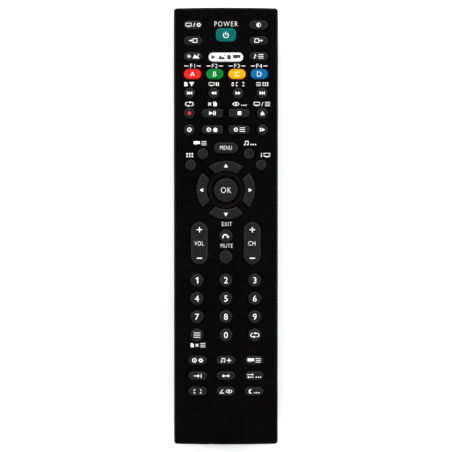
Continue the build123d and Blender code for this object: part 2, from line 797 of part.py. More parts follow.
# Cells, head to tail
cell_body_length = cell_length - cell_nub_height
spring_end = contact_thickness + spring_length + cell_contact_gap
for name, side in (("cell_left", -1), ("cell_right", 1)):
    base_y = bay_end_y + spring_end if side < 0 else bay_top_y - spring_end
    base_plane = Plane(
        origin=(side * cell_pitch / 2, base_y, cell_axis_z),
        x_dir=(1, 0, 0),
        z_dir=(0, -side, 0),
    )
    with BuildPart() as cell:
        with BuildSketch(base_plane):
            Circle(cell_diameter / 2)
        extrude(amount=cell_body_length)
        fillet(cell.edges().filter_by(GeomType.CIRCLE), cell_edge_radius)
        with BuildSketch(base_plane.offset(cell_body_length)):
            Circle(cell_nub_diameter / 2)
        extrude(amount=cell_nub_height)
    cell.part.label = name
    export_step(cell.part, f"parts/{name}.step")


def contact_plate(plate_y, centre_x, width, facing):
    """Return an upright contact plate; facing is +1 where its front looks towards +Y."""
    plane = Plane(origin=(centre_x, plate_y, cell_axis_z), x_dir=(1, 0, 0), z_dir=(0, facing, 0))
    with BuildPart(mode=Mode.PRIVATE) as plate:
        with BuildSketch(plane):
            RectangleRounded(width, contact_height, contact_thickness)
        extrude(amount=contact_thickness)
    return plate.part


def contact_dimple(plate_y, centre_x, facing):
    """Return the round boss that meets a cell's nub."""
    front_y = plate_y + facing * contact_thickness
    plane = Plane(origin=(centre_x, front_y, cell_axis_z), x_dir=(1, 0, 0), z_dir=(0, facing, 0))
    with BuildPart(mode=Mode.PRIVATE) as dimple:
        with BuildSketch(plane):
            Circle(contact_dimple_radius)
        extrude(amount=contact_dimple_height)
    return dimple.part


def contact_tab(centre_x):
    """Return the tab that runs up from an upper plate into the circuit board."""
    tab_foot_z = cell_axis_z + contact_height / 2 - contact_thickness
    with BuildPart(mode=Mode.PRIVATE) as tab:
        with BuildSketch(Plane.XY.offset(tab_foot_z)):
            with Locations((centre_x, bay_top_y - contact_thickness / 2)):
                Rectangle(contact_tab_width, contact_thickness)
        extrude(amount=board_top_z - tab_foot_z)
    return tab.part


def contact_spring(plate_y, centre_x, facing):
    """Return the conical coil between a plate and a cell's flat end."""
    rise = spring_length - spring_wire
    sink = spring_wire / 5
    start_y = plate_y + facing * (contact_thickness + spring_wire / 2 - sink)
    cone_angle = math.degrees(math.atan2(spring_top_radius - spring_base_radius, rise))
    with BuildPart(mode=Mode.PRIVATE) as spring:
        with BuildLine() as coil:
            Helix(
                pitch=rise / spring_turns,
                height=rise,
                radius=spring_base_radius,
                center=(centre_x, start_y, cell_axis_z),
                direction=(0, facing, 0),
                cone_angle=cone_angle,
            )
        with BuildSketch(Plane(origin=coil.line @ 0, z_dir=coil.line % 0)):
            Circle(spring_wire / 2)
        sweep(path=coil.line, is_frenet=True)
    return spring.part


# Battery contacts: two at the upper end with tabs, and the bridge across the lower end
half_pitch = cell_pitch / 2
with BuildPart() as contact_plate_positive:
    add(contact_plate(bay_top_y, -half_pitch, contact_width, -1))
    add(contact_dimple(bay_top_y, -half_pitch, -1))
    add(contact_tab(-half_pitch))
contact_plate_positive.part.label = "contact_plate_positive"
export_step(contact_plate_positive.part, "parts/contact_plate_positive.step")

with BuildPart() as contact_spring_negative:
    add(contact_plate(bay_top_y, half_pitch, contact_width, -1))
    add(contact_tab(half_pitch))
    add(contact_spring(bay_top_y, half_pitch, -1))
contact_spring_negative.part.label = "contact_spring_negative"
export_step(contact_spring_negative.part, "parts/contact_spring_negative.step")

with BuildPart() as contact_bridge:
    add(contact_plate(bay_end_y, 0, cell_pitch + contact_width, 1))
    add(contact_dimple(bay_end_y, half_pitch, 1))
    add(contact_spring(bay_end_y, -half_pitch, 1))
contact_bridge.part.label = "contact_bridge"
export_step(contact_bridge.part, "parts/contact_bridge.step")

# Infrared emitter: domed body on bent leads under the board's upper edge
led_base_y = led_tip_y - led_length
led_dome_y = led_tip_y - led_diameter / 2
with BuildPart() as ir_led:
    with BuildSketch(Plane.YZ):
        with BuildLine():
            Polyline(
                (led_dome_y, led_axis_z + led_diameter / 2),
                (led_base_y + led_flange_thickness, led_axis_z + led_diameter / 2),
                (led_base_y + led_flange_thickness, led_axis_z + led_flange_diameter / 2),
                (led_base_y, led_axis_z + led_flange_diameter / 2),
                (led_base_y, led_axis_z),
                (led_tip_y, led_axis_z),
            )
            RadiusArc(
                (led_dome_y, led_axis_z + led_diameter / 2),
                (led_tip_y, led_axis_z),
                led_diameter / 2,
            )
        make_face()
    revolve(axis=Axis((0, 0, led_axis_z), (0, 1, 0)))
    with Locations(*mirrored([(led_lead_pitch / 2, led_base_y + led_flange_thickness / 2)])):
        with Locations((0, 0, led_axis_z)):
            Box(
                led_lead_width,
                led_lead_length + led_flange_thickness / 2,
                led_lead_width,
                align=(Align.CENTER, Align.MAX, Align.CENTER),
            )
    with Locations(*mirrored([(led_lead_pitch / 2, led_base_y - led_lead_length)])):
        with Locations((0, 0, led_axis_z - led_lead_width / 2)):
            Box(
                led_lead_width,
                led_lead_width,
                board_bottom_z - led_axis_z + led_lead_width / 2,
                align=(Align.CENTER, Align.MIN, Align.MIN),
            )
ir_led.part.label = "ir_led"
export_step(ir_led.part, "parts/ir_led.step")

# Controller chip with a row of leads along each side
chip_top_z = board_bottom_z - chip_stand_off
with BuildPart() as controller_chip:
    with BuildSketch(Plane.XY.offset(chip_top_z - chip_height)):
        with Locations((0, chip_y)):
            Rectangle(chip_length, chip_width)
    extrude(amount=chip_height)
    chamfer(controller_chip.edges().filter_by(Axis.Z, reverse=True), chip_stand_off)
    with BuildSketch(Plane.XY.offset(board_bottom_z - chip_lead_thickness)):
        with Locations((0, chip_y)):
            with GridLocations(chip_lead_pitch, chip_width + chip_lead_reach, chip_lead_count, 2):
                Rectangle(chip_lead_width, chip_lead_reach)
    extrude(amount=chip_lead_thickness)
    with BuildSketch(Plane.XY.offset(chip_top_z - chip_height / 2)):
        with Locations((0, chip_y)):
            with GridLocations(chip_lead_pitch, chip_width, chip_lead_count, 2):
                Rectangle(chip_lead_width, 2 * chip_lead_thickness)
    extrude(amount=board_bottom_z - chip_top_z + chip_height / 2)
controller_chip.part.label = "controller_chip"
export_step(controller_chip.part, "parts/controller_chip.step")

# Ceramic resonator
with BuildPart() as resonator:
    with BuildSketch(Plane.XY.offset(board_bottom_z - resonator_height)):
        with Locations((0, resonator_y)):
            SlotOverall(resonator_length, resonator_width)
    extrude(amount=resonator_height)
    fillet(resonator.faces().sort_by(Axis.Z)[0].edges(), resonator_height / 8)
resonator.part.label = "resonator"
export_step(resonator.part, "parts/resonator.step")

# Smoothing capacitor, lying under the board with its leads bent up
capacitor_axis_z = board_bottom_z - capacitor_diameter / 2
capacitor_base_y = capacitor_y - capacitor_length / 2
capacitor_plane = Plane.XZ.offset(-capacitor_base_y)
crimp_depth = capacitor_diameter / 16
with BuildPart() as smoothing_capacitor:
    with BuildSketch(capacitor_plane):
        with Locations((capacitor_x, capacitor_axis_z)):
            Circle(capacitor_diameter / 2)
    extrude(amount=-capacitor_length)
    fillet(smoothing_capacitor.edges().filter_by(GeomType.CIRCLE), crimp_depth)
    with BuildSketch(capacitor_plane.offset(-3 * crimp_depth)):
        with Locations((capacitor_x, capacitor_axis_z)):
            Circle(capacitor_diameter / 2)
            Circle(capacitor_diameter / 2 - crimp_depth, mode=Mode.SUBTRACT)
    extrude(amount=-2 * crimp_depth, mode=Mode.SUBTRACT)
    with Locations(
        (capacitor_x - led_lead_pitch / 2, capacitor_base_y, capacitor_axis_z),
        (capacitor_x + led_lead_pitch / 2, capacitor_base_y, capacitor_axis_z),
    ):
        Box(
            led_lead_width,
            2 * led_lead_width,
            capacitor_diameter / 2,
            align=(Align.CENTER, Align.CENTER, Align.MIN),
        )
smoothing_capacitor.part.label = "smoothing_capacitor"
export_step(smoothing_capacitor.part, "parts/smoothing_capacitor.step")

# Driver transistor
with BuildPart() as driver_transistor:
    with BuildSketch(Plane.XY.offset(board_bottom_z - transistor_height)):
        with Locations((transistor_x, transistor_y)):
            Rectangle(transistor_length, transistor_width)
    extrude(amount=transistor_height)
    with BuildSketch(Plane.XY.offset(board_bottom_z - chip_lead_thickness)):
        with Locations((transistor_x, transistor_y)):
            with Locations((0, transistor_width / 2 + chip_lead_reach / 4)):
                Rectangle(chip_lead_width, chip_lead_reach)
            with Locations((0, -transistor_width / 2 - chip_lead_reach / 4)):
                with GridLocations(transistor_length / 3 * 2, 0, 2, 1):
                    Rectangle(chip_lead_width, chip_lead_reach)
    extrude(amount=chip_lead_thickness)
driver_transistor.part.label = "driver_transistor"
export_step(driver_transistor.part, "parts/driver_transistor.step")

# Chip resistors, one group of separate solids
with BuildPart() as chip_resistors:
    with BuildSketch(Plane.XY.offset(board_bottom_z - resistor_height)):
        with Locations((0, resistor_y)):
            with GridLocations(resistor_pitch_x, resistor_pitch_y, resistor_columns, resistor_rows):
                Rectangle(resistor_length, resistor_width)
    extrude(amount=resistor_height)
chip_resistors.part.label = "chip_resistors"
export_step(chip_resistors.part, "parts/chip_resistors.step")
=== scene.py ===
"""Looks of the hand-held remote control: finishes, printed marks, floor, lights and camera.

Metres, in the frame of the CAD model: X across, +Y to the infrared end, +Z out of the key face.
"""

import json
import math

import bmesh
import bpy
from mathutils import Euler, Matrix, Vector


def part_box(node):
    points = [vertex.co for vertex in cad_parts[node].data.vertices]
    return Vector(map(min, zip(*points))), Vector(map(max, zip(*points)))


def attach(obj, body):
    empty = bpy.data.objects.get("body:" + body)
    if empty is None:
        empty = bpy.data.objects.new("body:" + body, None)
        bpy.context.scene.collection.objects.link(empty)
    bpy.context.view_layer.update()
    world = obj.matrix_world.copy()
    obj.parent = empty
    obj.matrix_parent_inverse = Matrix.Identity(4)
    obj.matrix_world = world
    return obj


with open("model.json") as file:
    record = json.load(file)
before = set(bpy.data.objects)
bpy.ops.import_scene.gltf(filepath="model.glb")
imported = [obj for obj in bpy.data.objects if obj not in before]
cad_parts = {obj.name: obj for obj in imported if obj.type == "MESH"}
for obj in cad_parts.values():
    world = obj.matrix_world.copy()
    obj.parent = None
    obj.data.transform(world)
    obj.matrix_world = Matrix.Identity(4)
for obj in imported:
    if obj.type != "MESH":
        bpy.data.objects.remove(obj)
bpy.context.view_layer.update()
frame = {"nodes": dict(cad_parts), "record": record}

MM = 0.001
UP = Vector((0, 0, 1))


def middle(node):
    """Return the middle of a CAD node's box."""
    low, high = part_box(node)
    return (low + high) / 2


# Heights in the CAD model that the finishes and the marks refer to
RING_RISE = 0.35 * MM  # of the ring round the OK key over the face
PILL_THICKNESS = 0.5 * MM  # of the carbon pill under each key
face_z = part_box("front_shell")[1].z - RING_RISE
key_top_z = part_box("key_ok")[1].z
pill_top_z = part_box("key_ok")[0].z + PILL_THICKNESS

MOST = (0.3, 0.7)  # the range that holds nearly all values of a noise
SCRATCH_DEPTH = 0.002 * MM


class Finish:
    """A material built up from a Principled shader, with its detail in the object's own space."""

    def __init__(self, name, constants):
        self.material = bpy.data.materials.new(name)
        self.material.use_nodes = True
        self.tree = self.material.node_tree
        self.shader = self.tree.nodes["Principled BSDF"]
        for socket, value in constants.items():
            self.shader.inputs[socket].default_value = value
        places = self.node("TexCoord")
        self.place = places.outputs["Object"]
        self.x, self.y, self.z = self.node("SeparateXYZ", {"Vector": self.place}).outputs
        facing = self.node("SeparateXYZ", {"Vector": places.outputs["Normal"]})
        _, self.facing_y, self.facing_z = facing.outputs
        self.normal = None

    def node(self, kind, feeds=None, **settings):
        """Add a node, and feed its inputs with values or with the outputs of other nodes."""
        node = self.tree.nodes.new("ShaderNode" + kind)
        for name, value in settings.items():
            setattr(node, name, value)
        for socket, value in (feeds or {}).items():
            self.feed(node.inputs[socket], value)
        return node

    def feed(self, socket, value):
        """Set a socket to a value, or link it to another node's output."""
        if isinstance(value, bpy.types.NodeSocket):
            self.tree.links.new(value, socket)
        else:
            socket.default_value = value

    def noise(self, size, detail=2.0, stretch=(1, 1, 1)):
        """Return noise from 0 to 1 with blotches about a size across, longer where stretched."""
        scale = [1 / (size * share) for share in stretch]
        mapping = self.node("Mapping", {"Vector": self.place, "Scale": scale})
        feeds = {"Vector": mapping.outputs[0], "Scale": 1.0, "Detail": detail}
        return self.node("TexNoise", feeds).outputs[0]

    def span(self, value, low, high, start=0.0, end=1.0):
        """Return a value carried smoothly from the range low to high to the range start to end."""
        feeds = {"Value": value, "From Min": low, "From Max": high, "To Min": start, "To Max": end}
        return self.node("MapRange", feeds, interpolation_type="SMOOTHSTEP").outputs["Result"]

    def math(self, operation, first, second=0.0):
        """Return the result of an operation on two values."""
        return self.node("Math", {0: first, 1: second}, operation=operation).outputs[0]

    def distance(self, value, centre):
        """Return how far a value is from a centre, either way."""
        return self.math("ABSOLUTE", self.math("SUBTRACT", value, centre))

    def blend(self, share, first, second):
        """Return a colour on the way from the first to the second."""
        return self.node("Mix", {0: share, 6: first, 7: second}, data_type="RGBA").outputs[2]

    def bump(self, height, depth):
        """Add relief of a depth to the surface, over what is there already."""
        feeds = {"Height": height, "Distance": depth, "Strength": 1.0}
        if self.normal:
            feeds["Normal"] = self.normal
        self.normal = self.node("Bump", feeds).outputs[0]

    def scratch(self, size, detail, stretch, threshold):
        """Cut hairline scratches into the relief, along the way that they are stretched."""
        line = self.span(self.noise(size, detail, stretch), threshold, 0.78)
        self.bump(self.math("SUBTRACT", 1.0, line), SCRATCH_DEPTH)

    def paint(self, **looks):
        """Feed the shader's colour, roughness and other inputs, and its relief."""
        for name, value in looks.items():
            self.feed(self.shader.inputs[name.replace("_", " ").title()], value)
        if self.normal:
            self.feed(self.shader.inputs["Normal"], self.normal)
        return self.material


def shade(colour, gain=1.0):
    """Return a colour made lighter or darker, with full alpha."""
    return [min(channel * gain, 1.0) for channel in colour[:3]] + [1.0]


# The shells' colour, and each shell's roughness, shine, grain size and grain depth
SHELL_BLACK = (0.0012, 0.0010, 0.0011)
SHELLS = {
    "front_plastic": (0.32, 0.045, 0.20 * MM, 0.008 * MM),
    "rear_plastic": (0.44, 0.20, 0.34 * MM, 0.030 * MM),
}
# Where the painted highlight on the top of the ring round the OK key starts: its rise over the face, and its
# distance from the key
RING_TOP_RISE = (0.1 * MM, 0.3 * MM)
RING_TOP_START = (6.9 * MM, 7.9 * MM)


def ring_top(finish):
    """Return a share that is 1 on the top of the ring round the OK key, where a highlight is painted, and 0
    elsewhere.
    """
    hub = middle("key_ok")
    low_rise, high_rise = RING_TOP_RISE
    raised = finish.span(finish.z, face_z + low_rise, face_z + high_rise)
    across = finish.math("POWER", finish.math("SUBTRACT", finish.x, hub.x), 2.0)
    along = finish.math("POWER", finish.math("SUBTRACT", finish.y, hub.y), 2.0)
    from_hub = finish.math("SQRT", finish.math("ADD", across, along))
    return finish.math("MULTIPLY", raised, finish.span(from_hub, *RING_TOP_START))


def moulded_plastic(name, roughness, shine, grain_size, grain_depth):
    """Moulded ABS: spark-eroded grain, faint flow marks, handling polish, paler edges, and a painted
    highlight on the top of the ring round the OK key.
    """
    finish = Finish(name, {"IOR": 1.5, "Specular IOR Level": shine})
    flow = finish.span(finish.noise(22 * MM, 3, stretch=(1, 2.5, 1)), *MOST)
    tone = finish.blend(flow, shade(SHELL_BLACK, 0.8), shade(SHELL_BLACK, 1.25))
    speck = finish.span(finish.noise(0.12 * MM, 1), 0.62, 0.8, 0, 0.35)
    tone = finish.blend(speck, tone, shade(SHELL_BLACK, 3.0))
    edge = finish.span(finish.math("ABSOLUTE", finish.facing_z), 0.3, 0.97, 1, 0)
    bare = finish.math("MULTIPLY", edge, finish.span(finish.noise(5 * MM, 3), 0.4, 0.7))
    tone = finish.blend(finish.math("MULTIPLY", bare, 0.5), tone, shade(SHELL_BLACK, 2.6))
    # Painted highlight: the top of the ring round the OK key is drawn lighter than the face, standing in for
    # the light its rounded rim catches.
    tone = finish.blend(ring_top(finish), tone, shade(SHELL_BLACK, 3.2))
    smudge = finish.noise(16 * MM, 1)
    polish = finish.span(smudge, 0.3, 0.72, roughness + 0.03, roughness - 0.04)
    polish = finish.math("SUBTRACT", polish, finish.math("MULTIPLY", bare, 0.08))
    finish.bump(finish.noise(grain_size, 2), grain_depth)
    finish.bump(finish.noise(14 * MM, 2), 0.03 * MM)
    finish.scratch(0.35 * MM, 2, (1, 40, 1), 0.66)
    return finish.paint(base_color=tone, roughness=polish)


# How far a key's surface faces up, from where its painted shade on the flanks is full to where there is none
STEEP_FLANK_SHADE = (0.72, 0.975)
BROAD_FLANK_SHADE = (0.80, 0.96)
# Key silicones: colour, its gains for the painted highlight on the crests and for the painted shade on the
# flanks, the range of that shade, shine and softness
SILICONES = {
    "key_rubber": ((0.0073, 0.0072, 0.0074), 3.0, 0.3, STEEP_FLANK_SHADE, 0.11, 0.0),
    "teal_rubber": ((0.001, 0.084, 0.078), 2.9, 0.5, BROAD_FLANK_SHADE, 0.05, 0.0),
    "white_rubber": ((0.80, 0.80, 0.79), 1.0, 0.7, STEEP_FLANK_SHADE, 0.11, 0.1),
    "red_rubber": ((0.60, 0.012, 0.008), 1.5, 0.4, BROAD_FLANK_SHADE, 0.05, 0.0),
    "green_rubber": ((0.001, 0.140, 0.020), 2.1, 0.45, BROAD_FLANK_SHADE, 0.05, 0.0),
    "yellow_rubber": ((0.74, 0.27, 0.001), 1.3, 0.45, BROAD_FLANK_SHADE, 0.05, 0.0),
    "blue_rubber": ((0.001, 0.092, 0.24), 1.8, 0.4, BROAD_FLANK_SHADE, 0.05, 0.0),
}
PILL_CARBON = (0.008, 0.008, 0.009)
PILL_GAP = 0.02 * MM  # between a pill and its key


def silicone(name, colour, highlight_gain, shade_gain, shade_range, shine, softness):
    """Key silicone: matte skin, a painted highlight round the rounded top edge that is strongest towards the
    infrared end, painted shade on the flanks, lint specks, and the carbon pill underneath.
    """
    finish = Finish(
        name,
        {
            "IOR": 1.41,
            "Specular IOR Level": shine,
            "Sheen Weight": 0.02,
            "Sheen Roughness": 0.45,
            "Subsurface Weight": softness,
            "Subsurface Radius": (1.0, 0.7, 0.5),
            "Subsurface Scale": 0.6 * MM,
        },
    )
    batch = finish.span(finish.noise(2.6 * MM, 3), *MOST)
    tone = finish.blend(batch, shade(colour, 0.86), shade(colour, 1.16))
    # Painted highlight: the rounded top edge is drawn lighter, most on the side towards the infrared end,
    # where the upper lamp lights it.
    crest_highlight = finish.span(finish.facing_z, 0.93, 0.995, 1, 0)
    crest_highlight = finish.math("MULTIPLY", crest_highlight, finish.span(finish.facing_y, -0.1, 0.12, 0.35, 1))
    tone = finish.blend(crest_highlight, tone, shade(colour, highlight_gain))
    # Painted shade: the flanks that face sideways are drawn darker, standing in for the shade they sit in.
    flank_shade = finish.span(finish.facing_z, *shade_range, 1, 0)
    tone = finish.blend(flank_shade, tone, shade(colour, shade_gain))
    lint = finish.span(finish.noise(0.09 * MM, 1), 0.7, 0.82, 0, 0.4)
    tone = finish.blend(lint, tone, shade(colour, 2.0))
    above = finish.math("GREATER_THAN", finish.z, pill_top_z + PILL_GAP / 2)
    tone = finish.blend(above, shade(PILL_CARBON), tone)
    roughness = finish.span(finish.noise(1.8 * MM, 3), *MOST, 0.5, 0.62)
    finish.bump(finish.noise(0.11 * MM, 2), 0.006 * MM)
    finish.bump(finish.noise(2.2 * MM, 1), 0.015 * MM)
    return finish.paint(base_color=tone, roughness=roughness)


def window_plastic():
    """Infrared window: polished dark red plastic with a faint swirl and hairline scratches."""
    constants = {"IOR": 1.45, "Specular IOR Level": 0.22, "Coat Weight": 0.05, "Coat Roughness": 0.04}
    finish = Finish("window_plastic", constants)
    tone = finish.blend(finish.noise(6 * MM, 2), (0.018, 0.002, 0.005, 1), (0.045, 0.005, 0.010, 1))
    haze = finish.span(finish.noise(3 * MM, 4), 0.4, 0.75, 0.07, 0.16)
    finish.scratch(0.2 * MM, 1, (30, 1, 1), 0.68)
    return finish.paint(base_color=tone, roughness=haze)


def mat_rubber():
    """Keypad mat: milky grey silicone with a fine powdery skin."""
    finish = Finish("mat_rubber", {"Subsurface Weight": 0.2, "Subsurface Scale": 0.8 * MM})
    cloud = finish.span(finish.noise(7 * MM, 4), *MOST)
    tone = finish.blend(cloud, (0.30, 0.30, 0.31, 1), (0.40, 0.40, 0.41, 1))
    finish.bump(finish.noise(0.15 * MM, 2), 0.008 * MM)
    return finish.paint(base_color=tone, roughness=finish.span(cloud, 0, 1, 0.55, 0.7))


# The board's copper tracks under its mask, and its contact pads
TRACK_LENGTH = 17 * MM
TRACK_PITCH = 1.9 * MM
TRACK_WIDTH = 0.22 * MM
TRACK_RELIEF = 0.03 * MM
PAD_DEPTH = 0.03 * MM  # how far down from the pads' tops their carbon shows


def board_laminate():
    """Circuit board: green mask with buried tracks, woven glass, and carbon contact pads."""
    finish = Finish("board_laminate", {"Coat Weight": 0.3, "Coat Roughness": 0.2})
    pad_top_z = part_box("circuit_board")[1].z
    black, white = (0, 0, 0, 1), (1, 1, 1, 1)
    tracks = []
    for turn in (0, math.pi / 2):
        mapping = finish.node("Mapping", {"Vector": finish.place, "Rotation": (0, 0, turn)})
        feeds = {
            "Vector": mapping.outputs[0],
            "Scale": 1.0,
            "Brick Width": TRACK_LENGTH,
            "Row Height": TRACK_PITCH,
            "Mortar Size": TRACK_WIDTH,
            "Mortar Smooth": 0.2,
            "Color1": black,
            "Color2": black,
            "Mortar": white,
        }
        tracks.append(finish.node("TexBrick", feeds).outputs[0])
    route = finish.span(finish.noise(11 * MM, 1), 0.48, 0.52)
    track = finish.blend(route, *tracks)
    mask = finish.blend(finish.noise(5 * MM, 3), (0.010, 0.11, 0.035, 1), (0.016, 0.15, 0.05, 1))
    tone = finish.blend(track, mask, (0.035, 0.27, 0.09, 1))
    weave = finish.span(finish.noise(0.4 * MM, 1, stretch=(1, 3, 1)), 0.55, 0.75, 0, 0.2)
    tone = finish.blend(weave, tone, (0.03, 0.2, 0.08, 1))
    pad = finish.math("GREATER_THAN", finish.z, pad_top_z - PAD_DEPTH)
    tone = finish.blend(pad, tone, (0.012, 0.012, 0.013, 1))
    finish.bump(track, TRACK_RELIEF)
    return finish.paint(base_color=tone, roughness=finish.span(pad, 0, 1, 0.3, 0.6))


def leads(node, body_reach):
    """Return a rule by which a part is tinned beyond the long sides of its body."""
    def rule(finish):
        return finish.math("GREATER_THAN", finish.distance(finish.y, middle(node).y), body_reach)

    return rule


def capacitor_end(finish):
    """Bare aluminium on the capacitor's flat ends and its leads."""
    return finish.span(finish.math("ABSOLUTE", finish.facing_y), 0.8, 0.9)


def resistor_caps(finish):
    """Tinned ends of the chip resistors, which stand side by side at an even pitch."""
    pitch = 5 * MM
    bare_reach = 0.65 * MM
    within = finish.math("MODULO", finish.math("ADD", finish.x, 10 * pitch), pitch)
    return finish.math("GREATER_THAN", finish.distance(within, pitch / 2), bare_reach)


def no_metal(finish):
    """Nowhere tinned."""
    return 0.0


TIN = (0.70, 0.69, 0.67)
# Small parts on the board: body colour, where they are tinned, and the body's roughness
SOLDERED = {
    "chip_plastic": ((0.015, 0.015, 0.016), leads("controller_chip", 3.76 * MM), 0.55),
    "resonator_ceramic": ((0.62, 0.28, 0.04), no_metal, 0.35),
    "capacitor_sleeve": ((0.012, 0.02, 0.08), capacitor_end, 0.25),
    "resistor_ceramic": ((0.015, 0.015, 0.015), resistor_caps, 0.4),
}
TRANSISTOR = ((0.015, 0.015, 0.016), leads("driver_transistor", 0.71 * MM), 0.5)


def soldered_part(name, body_colour, metal_share, body_roughness):
    """Small soldered part: a body of one colour whose leads are tinned where the rule says."""
    finish = Finish(name, {"Specular IOR Level": 0.5})
    metal = metal_share(finish)
    mottle = finish.noise(0.6 * MM, 3)
    body = finish.blend(mottle, shade(body_colour, 0.8), shade(body_colour, 1.2))
    tin = finish.blend(mottle, shade(TIN, 0.85), shade(TIN, 1.1))
    tone = finish.blend(metal, body, tin)
    dull = finish.span(metal, 0, 1, body_roughness, 0.28)
    roughness = finish.math("ADD", dull, finish.math("MULTIPLY", mottle, 0.08))
    finish.bump(finish.noise(0.08 * MM, 2), 0.004 * MM)
    return finish.paint(base_color=tone, roughness=roughness, metallic=metal)


def nickel():
    """Nickel-plated spring steel: rolled grain, faint stains."""
    finish = Finish("contact_metal", {"Metallic": 1.0})
    stain = finish.span(finish.noise(3 * MM, 4), 0.35, 0.75)
    tone = finish.blend(stain, (0.74, 0.72, 0.68, 1), (0.60, 0.57, 0.52, 1))
    grain = finish.noise(0.08 * MM, 2, stretch=(1, 1, 12))
    finish.bump(grain, 0.003 * MM)
    return finish.paint(base_color=tone, roughness=finish.span(grain, *MOST, 0.18, 0.32))


def emitter_lens():
    """Infrared emitter: clear, faintly blue resin with tinned leads."""
    resin_length = 8.61 * MM
    resin_base_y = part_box("ir_led")[1].y - resin_length
    finish = Finish("led_plastic", {"IOR": 1.5})
    lead = finish.math("LESS_THAN", finish.y, resin_base_y)
    swirl = finish.noise(1.5 * MM, 2)
    resin = finish.blend(swirl, (0.55, 0.66, 0.86, 1), (0.70, 0.78, 0.92, 1))
    finish.bump(finish.noise(0.5 * MM, 2), 0.004 * MM)
    return finish.paint(
        base_color=finish.blend(lead, resin, shade(TIN)),
        roughness=finish.span(swirl, *MOST, 0.05, 0.12),
        metallic=lead,
        transmission_weight=finish.span(lead, 0, 1, 0.85, 0),
    )


CELLS = {"cell_left": 1, "cell_right": -1}  # which way along Y each cell's plus end points
# Where along a cell its print changes, as shares of its length from the minus end
CELL_LINE_START = (0.755, 0.757)
CELL_LINE_END = (0.770, 0.772)
CELL_BAND_START = (0.785, 0.790)
CELL_NUB_START = 0.995


def cell_film(node, plus_side):
    """Cell: printed film with a copper-coloured band at the plus end, and bare steel ends."""
    low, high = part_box(node)
    start, end = (0, 1) if plus_side > 0 else (1, 0)
    finish = Finish(f"film_{node}", {"Coat Weight": 0.5, "Coat Roughness": 0.12})
    along = finish.span(finish.y, low.y, high.y, start, end)
    end_face = finish.span(finish.math("ABSOLUTE", finish.facing_y), 0.75, 0.85)
    steel = finish.math("MAXIMUM", end_face, finish.math("GREATER_THAN", along, CELL_NUB_START))
    dark = finish.blend(finish.noise(4 * MM, 2), (0.012, 0.013, 0.016, 1), (0.02, 0.021, 0.025, 1))
    copper = finish.blend(finish.noise(1.5 * MM, 3), (0.55, 0.24, 0.10, 1), (0.68, 0.33, 0.15, 1))
    band = finish.span(along, *CELL_BAND_START)
    past_line = finish.span(along, *CELL_LINE_END, 1, 0)
    line = finish.math("MULTIPLY", finish.span(along, *CELL_LINE_START), past_line)
    film = finish.blend(band, dark, copper)
    film = finish.blend(line, film, (0.75, 0.75, 0.74, 1))
    tone = finish.blend(steel, film, (0.66, 0.65, 0.63, 1))
    metallic = finish.math("MAXIMUM", steel, finish.math("MULTIPLY", band, 0.8))
    roughness = finish.span(finish.noise(2 * MM, 3), *MOST, 0.24, 0.36)
    finish.bump(finish.noise(1.2 * MM, 2, stretch=(1, 6, 1)), 0.01 * MM)
    return finish.paint(base_color=tone, roughness=roughness, metallic=metallic)


# Colours of the printing inks
INK_WHITE = (0.80, 0.80, 0.79)
INK_CHARCOAL = (0.022, 0.022, 0.025)
INK_RED = (0.58, 0.009, 0.012)


def ink(name, colour):
    """Pad-printed ink: slightly uneven cover, pinholes and a soft sheen."""
    finish = Finish(name, {"IOR": 1.45, "Specular IOR Level": 0.4})
    cover = finish.span(finish.noise(0.5 * MM, 3), *MOST)
    tone = finish.blend(cover, shade(colour, 0.9), shade(colour))
    pinhole = finish.span(finish.noise(0.06 * MM, 1), 0.72, 0.8, 0, 0.3)
    tone = finish.blend(pinhole, tone, shade(colour, 0.55))
    finish.bump(finish.noise(0.1 * MM, 2), 0.003 * MM)
    return finish.paint(base_color=tone, roughness=finish.span(cover, 0, 1, 0.5, 0.42))


def slot_finishes():
    """Return the finish of every material slot but the cells'."""
    finishes = {slot: moulded_plastic(slot, *looks) for slot, looks in SHELLS.items()}
    finishes["window_plastic"] = window_plastic()
    finishes.update({slot: silicone(slot, *looks) for slot, looks in SILICONES.items()})
    finishes["mat_rubber"] = mat_rubber()
    finishes["board_laminate"] = board_laminate()
    finishes.update({slot: soldered_part(slot, *looks) for slot, looks in SOLDERED.items()})
    finishes["led_plastic"] = emitter_lens()
    finishes["contact_metal"] = nickel()
    return finishes


def dress(node, material):
    """Give a CAD node a material."""
    for material_slot in frame["nodes"][node].material_slots:
        material_slot.material = material


def dress_nodes(finishes):
    """Give every CAD node the finish of its slot, and the transistor and the cells their own."""
    for row in frame["record"]["subparts"]:
        if row["material_slot"] in finishes:
            dress(row["node"], finishes[row["material_slot"]])
    dress("driver_transistor", soldered_part("transistor", *TRANSISTOR))
    for node, plus_side in CELLS.items():
        dress(node, cell_film(node, plus_side))


def turned(points, degrees, x=0, y=0):
    """Return points turned round the origin by an angle and then carried to a place."""
    angle = math.radians(degrees)
    cosine, sine = math.cos(angle), math.sin(angle)
    return [(x + a * cosine - b * sine, y + a * sine + b * cosine) for a, b in points]


def bar(x, y, width, height):
    """Return a rectangle about a place."""
    right, top = width / 2, height / 2
    return [(x - right, y - top), (x + right, y - top), (x + right, y + top), (x - right, y + top)]


def wedge(x, y, length, breadth, turn=0):
    """Return a triangle about a place, its tip turned from +X by an angle in degrees."""
    corners = [(length / 2, 0), (-length / 2, breadth / 2), (-length / 2, -breadth / 2)]
    return turned(corners, turn, x, y)


def curve(x, y, radius, start, end, steps, spots):
    """Return a number of spots along a circle, from an angle towards another that is some steps away."""
    angles = [math.radians(start + (end - start) * step / steps) for step in range(spots)]
    return [(x + radius * math.cos(angle), y + radius * math.sin(angle)) for angle in angles]


